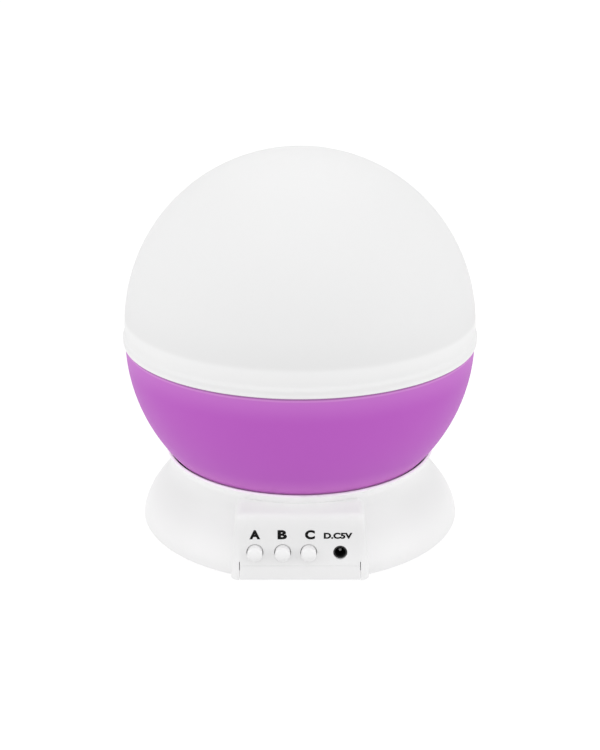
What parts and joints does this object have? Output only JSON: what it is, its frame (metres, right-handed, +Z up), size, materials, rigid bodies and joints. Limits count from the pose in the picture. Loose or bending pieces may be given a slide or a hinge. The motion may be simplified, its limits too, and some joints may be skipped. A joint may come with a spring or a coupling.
{
  "type": "star night light projector",
  "caption": "Ball-shaped night light that turns on a round base: lift-off milky cover, perforated star dome, geared motor drive, push buttons and battery bay.",
  "frame": {"origin": "on the standing plane under the feet, on the axis that the ball turns about", "axes": "+Z up along the turning axis, -Y to the front with the buttons and power jack, +X to the right seen from the front"},
  "size_m": [0.1258, 0.1258, 0.135],
  "materials": {
    "cover_white": "milky satin",
    "bowl_purple": "satin gloss",
    "base_white": "satin gloss",
    "collar_white": "matte",
    "mask_black": "matte",
    "dome_clear": "clear",
    "button_white": "satin gloss",
    "gear_nylon": "natural nylon",
    "ring_nylon": "slippery",
    "axle_steel": "ground",
    "screw_steel": "zinc plated",
    "motor_steel": "plated",
    "pinion_brass": "machined",
    "black_plastic": "matte",
    "jack_black": "matte",
    "pin_nickel": "nickel plated",
    "contact_nickel": "nickel plated",
    "board_green": "solder mask",
    "cell_wrap": "printed sleeve, plain",
    "foot_rubber": "soft",
    "wire_sleeve": "insulated",
    "led_warm_lens": "clear lens",
    "led_red_lens": "clear lens",
    "led_green_lens": "clear lens",
    "led_blue_lens": "clear lens"
  },
  "bodies": {
    "base": {"base_housing": "base_white", "base_plate": "base_white", "aaa_cells": "cell_wrap", "battery_contacts": "contact_nickel", "battery_springs": "contact_nickel", "rubber_feet": "foot_rubber", "base_screws": "screw_steel", "switch_bodies": "black_plastic", "dc_jack_shell": "jack_black", "dc_jack_pin": "pin_nickel", "control_board": "board_green", "board_components": "black_plastic", "board_screws": "screw_steel", "motor_can": "motor_steel", "motor_end_cap": "black_plastic", "gear_plate": "base_white", "gear_plate_screws": "screw_steel", "first_axle": "axle_steel", "second_axle": "axle_steel", "thrust_ring": "ring_nylon", "centre_column": "collar_white", "column_screws": "screw_steel", "led_board": "board_green", "led_board_screws": "screw_steel", "led_leads": "wire_sleeve", "motor_leads": "wire_sleeve", "battery_leads": "wire_sleeve", "led_warm": "led_warm_lens", "led_red": "led_red_lens", "led_green": "led_green_lens", "led_blue": "led_blue_lens"},
    "ball": {"bowl": "bowl_purple", "rim_collar": "collar_white", "star_mask": "mask_black", "clear_dome": "dome_clear", "hub_gear": "gear_nylon", "hub_screws": "screw_steel"},
    "cover": {"diffuser_cover": "cover_white"},
    "battery_lid": {"battery_door": "base_white"},
    "second_wheel": {"second_gear": "gear_nylon"},
    "first_wheel": {"first_gear": "gear_nylon"},
    "motor_rotor": {"motor_shaft": "axle_steel", "motor_pinion": "pinion_brass"},
    "button_a": {"button_cap_a": "button_white", "switch_plunger_a": "black_plastic"},
    "button_b": {"button_cap_b": "button_white", "switch_plunger_b": "black_plastic"},
    "button_c": {"button_cap_c": "button_white", "switch_plunger_c": "black_plastic"}
  },
  "joints": [
    {"name": "ball_spin", "type": "hinge", "parent": "base", "child": "ball", "pos_m": [0, 0, 0.0223], "axis": [0, 0, 1], "continuous": true},
    {"name": "second_gear_spin", "type": "hinge", "parent": "base", "child": "second_wheel", "pos_m": [0, 0.0252, 0.0155], "axis": [0, 0, 1], "continuous": true},
    {"name": "first_gear_spin", "type": "hinge", "parent": "base", "child": "first_wheel", "pos_m": [-0.01153, 0.03002, 0.0155], "axis": [0, 0, 1], "continuous": true},
    {"name": "motor_spin", "type": "hinge", "parent": "base", "child": "motor_rotor", "pos_m": [-0.00207, 0.03819, 0.0155], "axis": [0, 0, 1], "continuous": true},
    {"name": "cover_lift", "type": "slide", "parent": "ball", "child": "cover", "axis": [0, 0, 1], "range_m": [0, 0.07]},
    {"name": "battery_door_swing", "type": "hinge", "parent": "base", "child": "battery_lid", "pos_m": [0, 0.00535, 0.001], "axis": [1, 0, 0], "range_deg": [0, 75]},
    {"name": "button_a_press", "type": "slide", "parent": "base", "child": "button_a", "axis": [0, 1, 0], "range_m": [0, 0.0005], "stiffness_N_per_m": 300},
    {"name": "button_b_press", "type": "slide", "parent": "base", "child": "button_b", "axis": [0, 1, 0], "range_m": [0, 0.0005], "stiffness_N_per_m": 300},
    {"name": "button_c_press", "type": "slide", "parent": "base", "child": "button_c", "axis": [0, 1, 0], "range_m": [0, 0.0005], "stiffness_N_per_m": 300}
  ],
  "couplings": [
    {"joint": "second_gear_spin", "follows": "ball_spin", "ratio": -6},
    {"joint": "first_gear_spin", "follows": "ball_spin", "ratio": 24},
    {"joint": "motor_spin", "follows": "ball_spin", "ratio": -96}
  ]
}
